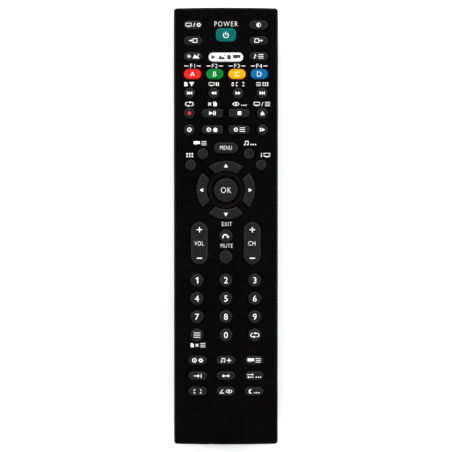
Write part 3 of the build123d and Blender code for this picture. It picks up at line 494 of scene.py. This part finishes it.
def arc(x, y, radius, width, start, end, steps=20):
    """Return a band along a circle between two angles in degrees."""
    outer = curve(x, y, radius + width / 2, start, end, steps, steps + 1)
    inner = curve(x, y, radius - width / 2, start, end, steps, steps + 1)
    return outer + inner[::-1]


def disc(x, y, radius, start=0, end=360, steps=24):
    """Return a disc, or the piece of one between two angles in degrees."""
    return curve(x, y, radius, start, end, steps, steps)


def ring(x, y, radius, width):
    """Return a ring in two halves."""
    return [arc(x, y, radius, width, 0, 180), arc(x, y, radius, width, 180, 360)]


def box_lines(x, y, width, height, line):
    """Return the four sides of an upright box."""
    return [
        bar(x, y + (height - line) / 2, width, line),
        bar(x, y - (height - line) / 2, width, line),
        bar(x - (width - line) / 2, y, line, height - 2 * line),
        bar(x + (width - line) / 2, y, line, height - 2 * line),
    ]


def spokes(count, inner, outer, width):
    """Return bars that point out from the middle, evenly turned."""
    spoke = bar((inner + outer) / 2, 0, outer - inner, width)
    return [turned(spoke, 360 * index / count) for index in range(count)]


def cross(arm, turn=0):
    """Return a cross with arms of a width, turned by an angle in degrees."""
    quarter = [(0.5, -arm / 2), (0.5, arm / 2), (arm / 2, arm / 2)]
    return [point for index in range(4) for point in turned(quarter, turn + 90 * index)]


def crescent(radius, bite_radius, bite_x):
    """Return a moon: a disc with a round bite out of its right side."""
    tip_x = (radius**2 - bite_radius**2 + bite_x**2) / (2 * bite_x)
    tip_y = math.sqrt(radius**2 - tip_x**2)
    outer_tip = math.degrees(math.atan2(tip_y, tip_x))
    bite_tip = math.degrees(math.atan2(tip_y, tip_x - bite_x))
    back = disc(0, 0, radius, outer_tip, 360 - outer_tip)
    return back + disc(bite_x, 0, bite_radius, 360 - bite_tip, bite_tip)


def note(x, stem_top):
    """Return the head and stem of a music note."""
    head_y = -0.33
    return [disc(x, head_y, 0.17), bar(x + 0.11, (stem_top + head_y) / 2, 0.12, stem_top - head_y)]


def bracket(x, y, reach, line):
    """Return an L whose corner is at a place and whose arms point back towards the origin."""
    inward_x, inward_y = math.copysign(1, -x), math.copysign(1, -y)
    steps = [(0, 0), (reach, 0), (reach, line), (line, line), (line, reach), (0, reach)]
    return [(x + inward_x * a, y + inward_y * b) for a, b in steps]


# Symbols as outlines about the origin, each one unit tall
SYMBOLS = {
    "1": [[(0.0, -0.5), (0.19, -0.5), (0.19, 0.5), (0.04, 0.5), (-0.25, 0.3), (-0.25, 0.13), (0.0, 0.27)]],
    "play": [wedge(0, 0, 0.95, 1)],
    "pause": [bar(-0.27, 0, 0.26, 1), bar(0.27, 0, 0.26, 1)],
    "skip_back": [bar(-0.74, 0, 0.17, 1), wedge(-0.32, 0, 0.66, 1, 180), wedge(0.36, 0, 0.66, 1, 180)],
    "rewind": [wedge(-0.36, 0, 0.7, 1, 180), wedge(0.36, 0, 0.7, 1, 180)],
    "forward": [wedge(-0.36, 0, 0.7, 1), wedge(0.36, 0, 0.7, 1)],
    "skip_next": [wedge(-0.36, 0, 0.66, 1), wedge(0.32, 0, 0.66, 1), bar(0.74, 0, 0.17, 1)],
    "play_pause": [wedge(-0.42, 0, 0.9, 1), bar(0.28, 0, 0.2, 1), bar(0.68, 0, 0.2, 1)],
    "stop": [bar(0, 0, 1, 1)],
    "eject": [wedge(0, 0.17, 0.65, 1.0, 90), bar(0, -0.4, 1.0, 0.2)],
    "slow": [bar(-0.62, 0, 0.24, 1), wedge(0.2, 0, 0.9, 1)],
    "up": [wedge(0, 0, 1, 1.12, 90)],
    "down": [wedge(0, 0, 1, 1.12, -90)],
    "left": [wedge(0, 0, 1, 1.12, 180)],
    "right": [wedge(0, 0, 1, 1.12, 0)],
    "plus": [cross(0.16)],
    "cross": [cross(0.17, 45)],
    "minus": [bar(0, 0, 5.4, 1)],
    "dash": [bar(0, 0, 6.5, 1)],
    "slash": [[(-0.24, -0.5), (-0.1, -0.5), (0.24, 0.5), (0.1, 0.5)]],
    "dots": [disc(x, -0.3, 0.14, steps=12) for x in (-0.5, 0, 0.5)],
    "power": [arc(0, -0.06, 0.38, 0.1, 125, 415, 28), bar(0, 0.22, 0.1, 0.56)],
    "return": [
        arc(0, -0.22, 0.56, 0.24, 8, 172),
        wedge(0.56, -0.25, 0.5, 0.7, -90),
        bar(-0.56, -0.3, 0.24, 0.34),
    ],
    "loop": [
        arc(-0.48, 0, 0.38, 0.14, 75, 270),
        bar(-0.34, -0.38, 0.28, 0.14),
        wedge(0.0, -0.38, 0.4, 0.5),
        arc(0.48, 0, 0.38, 0.14, -105, 90),
        bar(0.34, 0.38, 0.28, 0.14),
        wedge(0.0, 0.38, 0.4, 0.5, 180),
    ],
    "screen": box_lines(0, 0.08, 1.5, 0.84, 0.115) + [bar(0, -0.44, 0.8, 0.11)],
    "input": box_lines(0.35, 0, 1.1, 1, 0.14) + [bar(-0.85, 0, 0.5, 0.16), wedge(-0.42, 0, 0.42, 0.56)],
    "output": box_lines(-0.35, 0, 1.1, 1, 0.14) + [bar(0.45, 0, 0.5, 0.16), wedge(0.9, 0, 0.42, 0.56)],
    "sun": [disc(0, 0, 0.22)] + spokes(8, 0.34, 0.5, 0.11),
    "gear": ring(0, 0, 0.28, 0.16) + spokes(8, 0.37, 0.5, 0.16),
    "reel": ring(0, 0, 0.40, 0.17) + [disc(0, 0, 0.1)],
    "contrast": ring(0, 0, 0.44, 0.12) + [disc(0, 0, 0.37, 90, 270)],
    "info": [bar(0, -0.21, 0.2, 0.58), disc(0, 0.38, 0.13)],
    "eye": [arc(0, -0.56, 0.96, 0.14, 35, 145), arc(0, 0.56, 0.96, 0.14, 215, 325), disc(0, 0, 0.19)],
    "moon": [crescent(0.5, 0.4, 0.22)],
    "note": note(-0.1, 0.5) + [[(0.05, 0.5), (0.05, 0.22), (0.34, -0.02), (0.34, 0.16)]],
    "notes": note(-0.38, 0.4) + note(0.32, 0.4) + [bar(0.08, 0.44, 0.8, 0.16)],
    "house": [
        [(-0.4, -0.5), (0.4, -0.5), (0.4, 0.02), (0.6, 0.02), (0, 0.5), (-0.6, 0.02), (-0.4, 0.02)],
    ],
    "picture": [
        [(-0.8, -0.5), (0.8, -0.5), (0.3, 0.2), (0.08, -0.1), (-0.3, 0.5)],
        disc(0.6, 0.34, 0.15),
    ],
    "page": [[(-0.38, -0.5), (0.38, -0.5), (0.38, 0.2), (0.08, 0.5), (-0.38, 0.5)]],
    "bubble": [
        [(-0.8, -0.2), (-0.45, -0.2), (-0.3, -0.5), (-0.1, -0.2), (0.8, -0.2), (0.8, 0.5), (-0.8, 0.5)],
    ],
    "lines": [bar(0, y, 1.3, 0.125) for y in (-0.44, 0, 0.44)],
    "grid": [bar(x, y, 0.34, 0.34) for x in (-0.62, 0, 0.62) for y in (-0.31, 0.31)],
    "corners": [bracket(x, y, 0.38, 0.14) for x in (-0.95, 0.95) for y in (-0.5, 0.5)],
    "angle": [[(-0.6, -0.5), (0.6, -0.5), (0.6, -0.33), (-0.27, -0.33), (0.36, 0.5), (0.14, 0.5)]],
    "zoom": [wedge(0, 0.33, 0.34, 0.75, 90), wedge(0, -0.33, 0.34, 0.75, -90)],
    "span": [bar(0, 0, 1.1, 0.18), wedge(0.8, 0, 0.5, 0.9), wedge(-0.8, 0, 0.5, 0.9, 180)],
    "goto": [bar(-0.7, 0, 1.0, 0.18), wedge(0.05, 0, 0.5, 0.9), bar(0.68, 0, 0.18, 1)],
    "exchange": [
        bar(-0.2, 0.29, 1.1, 0.13),
        wedge(0.55, 0.29, 0.4, 0.42),
        bar(0.2, -0.29, 1.1, 0.13),
        wedge(-0.55, -0.29, 0.4, 0.42, 180),
    ],
}
SYMBOL_GAP = 0.42  # between symbols side by side, in symbol heights

# Places of the keys that share a node, from the middle of the node, in mm
SIDE_Y = 7.5
SKIP_OUTER_X, SKIP_INNER_X = 17.4, 5.8
DISC_OUTER_X, DISC_INNER_X = 17.5, 6.5
FUNCTION_X = 13.6
# Offsets and heights of the marks on both rockers, in mm
ROCKER_PLUS = ("plus", 0, 6.5, 2.55)
ROCKER_MINUS = ("minus", 0, -7.2, 0.47)

# What is printed on each key node: each mark, its offset from the node's middle, and its height, in mm
KEY_MARKS = {
    "key_power": [("power", 0, 0, 3.15)],
    "keys_left_column": [
        ("screen slash reel", 0, SIDE_Y, 1.9),
        ("input", 0, 0, 2.0),
        ("sun picture", 0, -SIDE_Y, 1.95),
    ],
    "keys_right_column": [
        ("contrast", 0, SIDE_Y, 2.1),
        ("output", 0, 0, 2.0),
        ("note lines", 0, -SIDE_Y, 2.0),
    ],
    "key_red": [("A", 0, 0, 2.3)],
    "key_green": [("B", 0, 0, 2.3)],
    "key_yellow": [("C", 0, 0, 2.3)],
    "key_blue": [("D", 0, 0, 2.3)],
    "keys_skip_row": [
        ("skip_back", -SKIP_OUTER_X, 0, 1.65),
        ("rewind", -SKIP_INNER_X, 0, 1.65),
        ("forward", SKIP_INNER_X, 0, 1.65),
        ("skip_next", SKIP_OUTER_X, 0, 1.65),
    ],
    "key_play_pause": [("play_pause", 0, 0, 1.9)],
    "key_stop": [("stop", 0, 0, 1.75)],
    "key_eject": [("eject", 0, 0, 1.9)],
    "keys_disc_row": [
        ("reel", -DISC_OUTER_X, 0, 2.2),
        ("reel house", -DISC_INNER_X, 0, 2.1),
        ("reel lines", DISC_INNER_X, 0, 2.0),
        ("slow", DISC_OUTER_X, 0, 1.75),
    ],
    "key_menu": [("MENU", 0, 0, 1.9)],
    "key_ok": [("OK", 0.1, 0, 2.75)],
    "key_return": [("return", 0, 0, 2.1)],
    "key_list": [("lines", 0, 0, 2.4)],
    "key_swap": [("loop", 0, 0, 2.3)],
    "keys_function_row_1": [
        ("reel gear", -FUNCTION_X, 0, 2.2),
        ("notes plus", 0, 0, 2.0),
        ("bubble lines", FUNCTION_X, 0, 1.9),
    ],
    "keys_function_row_2": [
        ("goto", -FUNCTION_X, 0, 1.9),
        ("span", 0, 0, 1.8),
        ("exchange dots", FUNCTION_X, 0, 2.1),
    ],
    "keys_function_row_3": [
        ("corners", -FUNCTION_X, 0, 1.9),
        ("angle eye", 0, 0, 1.9),
        ("moon dots", FUNCTION_X, 0, 2.1),
    ],
    "rocker_volume": [ROCKER_PLUS, ("VOL", -0.15, -0.1, 2.1), ROCKER_MINUS],
    "rocker_channel": [ROCKER_PLUS, ("CH", -0.2, -0.1, 2.1), ROCKER_MINUS],
}
DIGIT_HEIGHT = 2.95
KEY_MARKS.update({f"key_{digit}": [(str(digit), 0, 0, DIGIT_HEIGHT)] for digit in range(10)})
# The arrow keys' marks, each with the way it lies from the OK key
ARROWS = {
    "key_up": ("up", 0, 1),
    "key_down": ("down", 0, -1),
    "key_left": ("left", -1, 0),
    "key_right": ("right", 1, 0),
}
ARROW_REACH = 11.75  # from the middle of the OK key to each arrow, in mm
ARROW_HEIGHT = 1.65
RECORD_MARKS = [("stop", 0, 0, 1.5)]  # in red
WIDE_KEY_MARKS = [("play picture page bubble", 0, 0, 2.25)]  # in charcoal

# What is printed on the face: each mark, its key, its X, its rise over the key's middle and its height in mm
FACE_MARKS = [
    ("POWER", "key_power", 0.1, 5.3, 2.4),
    ("page down", "keys_skip_row", -17.6, 4.3, 2.0),
    ("screen pause", "keys_skip_row", -5.8, 4.3, 1.75),
    ("zoom corners", "keys_skip_row", 5.6, 4.3, 2.0),
    ("lines grid", "keys_skip_row", 17.4, 4.3, 1.75),
    ("loop", "key_record", -17.5, 4.4, 2.2),
    ("cross page", "key_play_pause", -6.5, 4.4, 2.1),
    ("eye dots", "key_stop", 6.5, 4.4, 2.0),
    ("screen slash lines", "key_eject", 17.3, 4.4, 1.9),
    ("bubble lines", "key_upper_left", -12.4, 5.1, 1.85),
    ("notes dots", "key_upper_right", 11.6, 5.1, 2.1),
    ("grid", "key_lower_left", -17.4, 4.7, 2.0),
    ("info screen", "key_lower_right", 19.0, 4.7, 2.0),
    ("EXIT", "key_return", 0.5, 5.75, 1.9),
    ("MUTE", "key_mute", 0.4, 5.35, 1.95),
    ("page cross lines", "key_list", -13.4, -5.0, 1.9),
]
# What is printed above each colour key: F and a number, with a dash on either side, in mm
COLOUR_KEYS = ["key_red", "key_green", "key_yellow", "key_blue"]
COLOUR_LABEL_RISE = 3.9
COLOUR_LABEL_HEIGHT = 2.0
DASH_REACH = 3.0
DASH_HEIGHT = 0.3

# Each word's width in mm, its weight and its letter spacing, and what the other texts have
WORDS = {
    "POWER": (11.1, -0.017, 1.3),
    "MENU": (5.6, -0.013, 1.15),
    "OK": (4.9, -0.018, 1.12),
    "EXIT": (4.75, -0.015, 1.15),
    "MUTE": (5.75, -0.012, 1.15),
    "VOL": (4.4, -0.011, 1.12),
    "CH": (3.4, -0.011, 1.12),
}
LETTER_WEIGHT = -0.012
DIGIT_WEIGHT = -0.002
LETTER_SPACING = 1.12

INK_THICKNESS = 0.02 * MM
INK_SINK = 0.01 * MM  # how deep the ink reaches into what it is printed on


def line_up(names):
    """Return the outlines of symbols side by side, with the middle of the row at the origin."""
    outlines = []
    reach = 0.0
    for name in names:
        places = [x for outline in SYMBOLS[name] for x, y in outline]
        shift = reach - min(places)
        outlines += [[(x + shift, y) for x, y in outline] for outline in SYMBOLS[name]]
        reach += max(places) - min(places) + SYMBOL_GAP
    half = (reach - SYMBOL_GAP) / 2
    return [[(x - half, y) for x, y in outline] for outline in outlines]


def draw_outlines(shape, outlines, place, height, thickness):
    """Add a symbol's outlines to a mesh as thin solids standing on a place."""
    for outline in outlines:
        points = [place + Vector((x * height, y * height, 0)) for x, y in outline]
        bottom = [shape.verts.new(point) for point in points]
        top = [shape.verts.new(point + UP * thickness) for point in points]
        shape.faces.new(top)
        shape.faces.new(bottom[::-1])
        for here in range(len(points)):
            after = (here + 1) % len(points)
            shape.faces.new((bottom[here], bottom[after], top[after], top[here]))


def draw_text(shape, text, place, height, thickness):
    """Add a word or a digit to a mesh as a thin solid, centred over a place."""
    font_curve = bpy.data.curves.new("text", "FONT")
    font_curve.body = text
    font_curve.extrude = 0.5
    plain = (None, DIGIT_WEIGHT if text.isdigit() else LETTER_WEIGHT, LETTER_SPACING)
    width, font_curve.offset, font_curve.space_character = WORDS.get(text, plain)
    font_curve.resolution_u = 3
    holder = bpy.data.objects.new("text", font_curve)
    bpy.context.scene.collection.objects.link(holder)
    seen = holder.evaluated_get(bpy.context.evaluated_depsgraph_get())
    mesh = bpy.data.meshes.new_from_object(seen)
    letters = bmesh.new()
    letters.from_mesh(mesh)
    bmesh.ops.remove_doubles(letters, verts=letters.verts, dist=1e-5)
    low = [min(vertex.co[axis] for vertex in letters.verts) for axis in range(2)]
    high = [max(vertex.co[axis] for vertex in letters.verts) for axis in range(2)]
    scale_y = height / (high[1] - low[1])
    scale_x = width * MM / (high[0] - low[0]) if width else scale_y
    for vertex in letters.verts:
        x = (vertex.co.x - (low[0] + high[0]) / 2) * scale_x
        y = (vertex.co.y - (low[1] + high[1]) / 2) * scale_y
        z = (vertex.co.z + font_curve.extrude) * thickness
        vertex.co = place + Vector((x, y, z))
    letters.to_mesh(mesh)
    shape.from_mesh(mesh)
    letters.free()
    bpy.data.objects.remove(holder)
    bpy.data.curves.remove(font_curve)
    bpy.data.meshes.remove(mesh)


def draw_mark(shape, mark, place, height):
    """Add one printed mark to a mesh: symbols by their names, or a text."""
    bottom = place - UP * INK_SINK
    thickness = INK_THICKNESS + INK_SINK
    names = mark.split()
    if names[0] in SYMBOLS:
        draw_outlines(shape, line_up(names), bottom, height, thickness)
    else:
        draw_text(shape, mark, bottom, height, thickness)


def add_piece(name, shape, body, material):
    """Make an object of a mesh, give it a material and let it ride on a body."""
    bmesh.ops.recalc_face_normals(shape, faces=shape.faces)
    mesh = bpy.data.meshes.new(name)
    shape.to_mesh(mesh)
    shape.free()
    mesh.materials.append(material)
    piece = bpy.data.objects.new(name, mesh)
    bpy.context.scene.collection.objects.link(piece)
    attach(piece, body)
    return piece


def print_key(node, material, marks, centre):
    """Print marks on a key node's tops as one piece, each at its offset from a centre."""
    shape = bmesh.new()
    for mark, x, y, height in marks:
        draw_mark(shape, mark, Vector((centre.x + x * MM, centre.y + y * MM, key_top_z)), height * MM)
    add_piece(f"marks_{node}", shape, node, material)


def print_keys(white, charcoal, red):
    """Print the marks on the keys, one piece for each key node."""
    for node, marks in KEY_MARKS.items():
        print_key(node, white, marks, middle(node))
    for node, (mark, x, y) in ARROWS.items():
        marks = [(mark, x * ARROW_REACH, y * ARROW_REACH, ARROW_HEIGHT)]
        print_key(node, white, marks, middle("key_ok"))
    print_key("key_record", red, RECORD_MARKS, middle("key_record"))
    print_key("key_wide", charcoal, WIDE_KEY_MARKS, middle("key_wide"))


def print_face(white):
    """Print the marks on the front shell as one piece."""
    middle_x = middle("front_shell").x
    shape = bmesh.new()
    for mark, node, x, rise, height in FACE_MARKS:
        place = Vector((middle_x + x * MM, middle(node).y + rise * MM, face_z))
        draw_mark(shape, mark, place, height * MM)
    for index, node in enumerate(COLOUR_KEYS):
        centre = middle(node)
        place = Vector((centre.x, centre.y + COLOUR_LABEL_RISE * MM, face_z))
        draw_mark(shape, f"F{index + 1}", place, COLOUR_LABEL_HEIGHT * MM)
        for side in (-1, 1):
            aside = Vector((side * DASH_REACH * MM, 0, 0))
            draw_mark(shape, "dash", place + aside, DASH_HEIGHT * MM)
    add_piece("marks_face", shape, "housing", white)


def mould_cover_arrow(material):
    """Raise an arrow on the battery cover that points the way it slides off."""
    rise, root = 0.2 * MM, 0.1 * MM
    length, breadth_share = 4 * MM, 1.6
    from_upper_end = 20 * MM
    rounding = 0.1 * MM
    low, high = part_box("battery_cover")
    arrow = bmesh.new()
    place = Vector((0, high.y - from_upper_end, low.z - rise))
    draw_outlines(arrow, [wedge(0, 0, 1, breadth_share, -90)], place, length, rise + root)
    bmesh.ops.bevel(
        arrow,
        geom=[edge for edge in arrow.edges if all(v.co.z < low.z - rise / 2 for v in edge.verts)],
        offset=rounding,
        segments=2,
        affect="EDGES",
    )
    add_piece("cover_arrow", arrow, "battery_cover", material)


# Signs on the cells: the symbol, its place from the middle as a share of the length, and its height in mm
CELL_SIGNS = [("plus", 0.36, 3.0), ("minus", -0.40, 0.55)]
CELL_INK_THICKNESS = 0.03 * MM


def wrap_round(shape, centre, radius):
    """Wrap a flat sign round the underside of a cell that lies along Y."""
    for vertex in shape.verts:
        angle = vertex.co.x / radius
        out = radius - INK_SINK + vertex.co.z
        along = centre.y + vertex.co.y
        vertex.co = Vector((centre.x - out * math.sin(angle), along, centre.z - out * math.cos(angle)))


def print_cells(white):
    """Print a plus and a minus sign on each cell's film, wrapped round its underside."""
    for node, plus_side in CELLS.items():
        low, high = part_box(node)
        radius = (high.x - low.x) / 2
        signs = bmesh.new()
        for mark, share, height in CELL_SIGNS:
            flat = bmesh.new()
            draw_outlines(flat, SYMBOLS[mark], Vector((0, 0, 0)), height * MM, CELL_INK_THICKNESS)
            bmesh.ops.subdivide_edges(flat, edges=flat.edges, cuts=6, use_grid_fill=True)
            along = Vector((0, plus_side * share * (high.y - low.y), 0))
            wrap_round(flat, (low + high) / 2 + along, radius)
            mesh = bpy.data.meshes.new("sign")
            flat.to_mesh(mesh)
            signs.from_mesh(mesh)
            flat.free()
            bpy.data.meshes.remove(mesh)
        add_piece(f"marks_{node}", signs, "housing", white)


FLOOR_RADIUS = 1.6
FLOOR_BEND_RADIUS = 0.5
FLOOR_BEND_STEPS = 8
FLOOR_SIDES = 64


def floor_paper():
    """Plain white paper, barely clouded."""
    finish = Finish("floor_paper", {"Specular IOR Level": 0.2})
    tone = finish.blend(finish.noise(0.3, 2), (0.95, 0.95, 0.95, 1), (0.97, 0.97, 0.97, 1))
    return finish.paint(base_color=tone, roughness=finish.span(finish.noise(0.05, 2), *MOST, 0.6, 0.7))


def add_floor():
    """Lay a plain white floor whose far edge curves up all round."""
    sweep = bmesh.new()
    rings = []
    for step in range(FLOOR_BEND_STEPS + 1):
        bend = math.radians(90 * step / FLOOR_BEND_STEPS)
        radius = FLOOR_RADIUS + FLOOR_BEND_RADIUS * math.sin(bend)
        height = FLOOR_BEND_RADIUS * (1 - math.cos(bend))
        turns = [math.tau * side / FLOOR_SIDES for side in range(FLOOR_SIDES)]
        rings.append([
            sweep.verts.new((radius * math.cos(turn), radius * math.sin(turn), height)) for turn in turns
        ])
    sweep.faces.new(rings[0])
    for lower, upper in zip(rings, rings[1:]):
        for here in range(FLOOR_SIDES):
            after = (here + 1) % FLOOR_SIDES
            sweep.faces.new((lower[here], lower[after], upper[after], upper[here])).smooth = True
    mesh = bpy.data.meshes.new("floor")
    sweep.to_mesh(mesh)
    sweep.free()
    mesh.materials.append(floor_paper())
    floor = bpy.data.objects.new("floor", mesh)
    bpy.context.scene.collection.objects.link(floor)


# Soft rectangular lamps: place, width and height in metres, and power in watts
LAMPS = {
    "lamp_upper": ((0.0, 1.15, 0.92), 1.6, 0.5, 26),
    "lamp_left": ((-1.15, 0.1, 0.85), 0.5, 1.6, 17),
    "lamp_right": ((1.15, 0.1, 0.85), 0.5, 1.6, 17),
    "lamp_lower": ((0.0, -1.2, 0.82), 1.6, 0.4, 11),
}
ROOM_COLOUR = (0.9, 0.95, 1.0, 1)
ROOM_STRENGTH = 0.08


def add_light(name, place, width, height, power):
    """Hang a soft rectangular lamp at a place, turned to the middle of the remote."""
    lamp = bpy.data.lights.new(name, "AREA")
    lamp.shape = "RECTANGLE"
    lamp.size = width
    lamp.size_y = height
    lamp.energy = power
    holder = bpy.data.objects.new(name, lamp)
    holder.location = place
    holder.rotation_euler = (-Vector(place)).to_track_quat("-Z", "Y").to_euler()
    holder.visible_camera = False
    bpy.context.scene.collection.objects.link(holder)


def add_lights():
    """Light the remote from all round and from above its upper end, with a dim room behind."""
    for name, settings in LAMPS.items():
        add_light(name, *settings)
    world = bpy.data.worlds.new("room")
    world.use_nodes = True
    background = world.node_tree.nodes["Background"]
    background.inputs["Color"].default_value = ROOM_COLOUR
    background.inputs["Strength"].default_value = ROOM_STRENGTH
    bpy.context.scene.world = world


def add_camera():
    """Look straight down at the key face from a metre, a little from the upper end."""
    distance = 1.0
    lean = math.radians(1.9)
    aim = Vector((0.05 * MM, 0.44 * MM, face_z))
    camera = bpy.data.cameras.new("camera")
    camera.lens = 165.7
    camera.sensor_width = 36.0
    holder = bpy.data.objects.new("camera", camera)
    holder.location = aim + distance * Vector((0, math.sin(lean), math.cos(lean)))
    holder.rotation_euler = Euler((-lean, 0, 0))
    bpy.context.scene.collection.objects.link(holder)
    bpy.context.scene.camera = holder


def main():
    """Dress the CAD model and set the stage."""
    add_camera()
    finishes = slot_finishes()
    dress_nodes(finishes)
    white = ink("white_ink", INK_WHITE)
    print_keys(white, ink("charcoal_ink", INK_CHARCOAL), ink("red_ink", INK_RED))
    print_face(white)
    mould_cover_arrow(finishes["rear_plastic"])
    print_cells(white)
    add_floor()
    add_lights()
    bpy.context.scene.view_settings.view_transform = "Standard"


main()
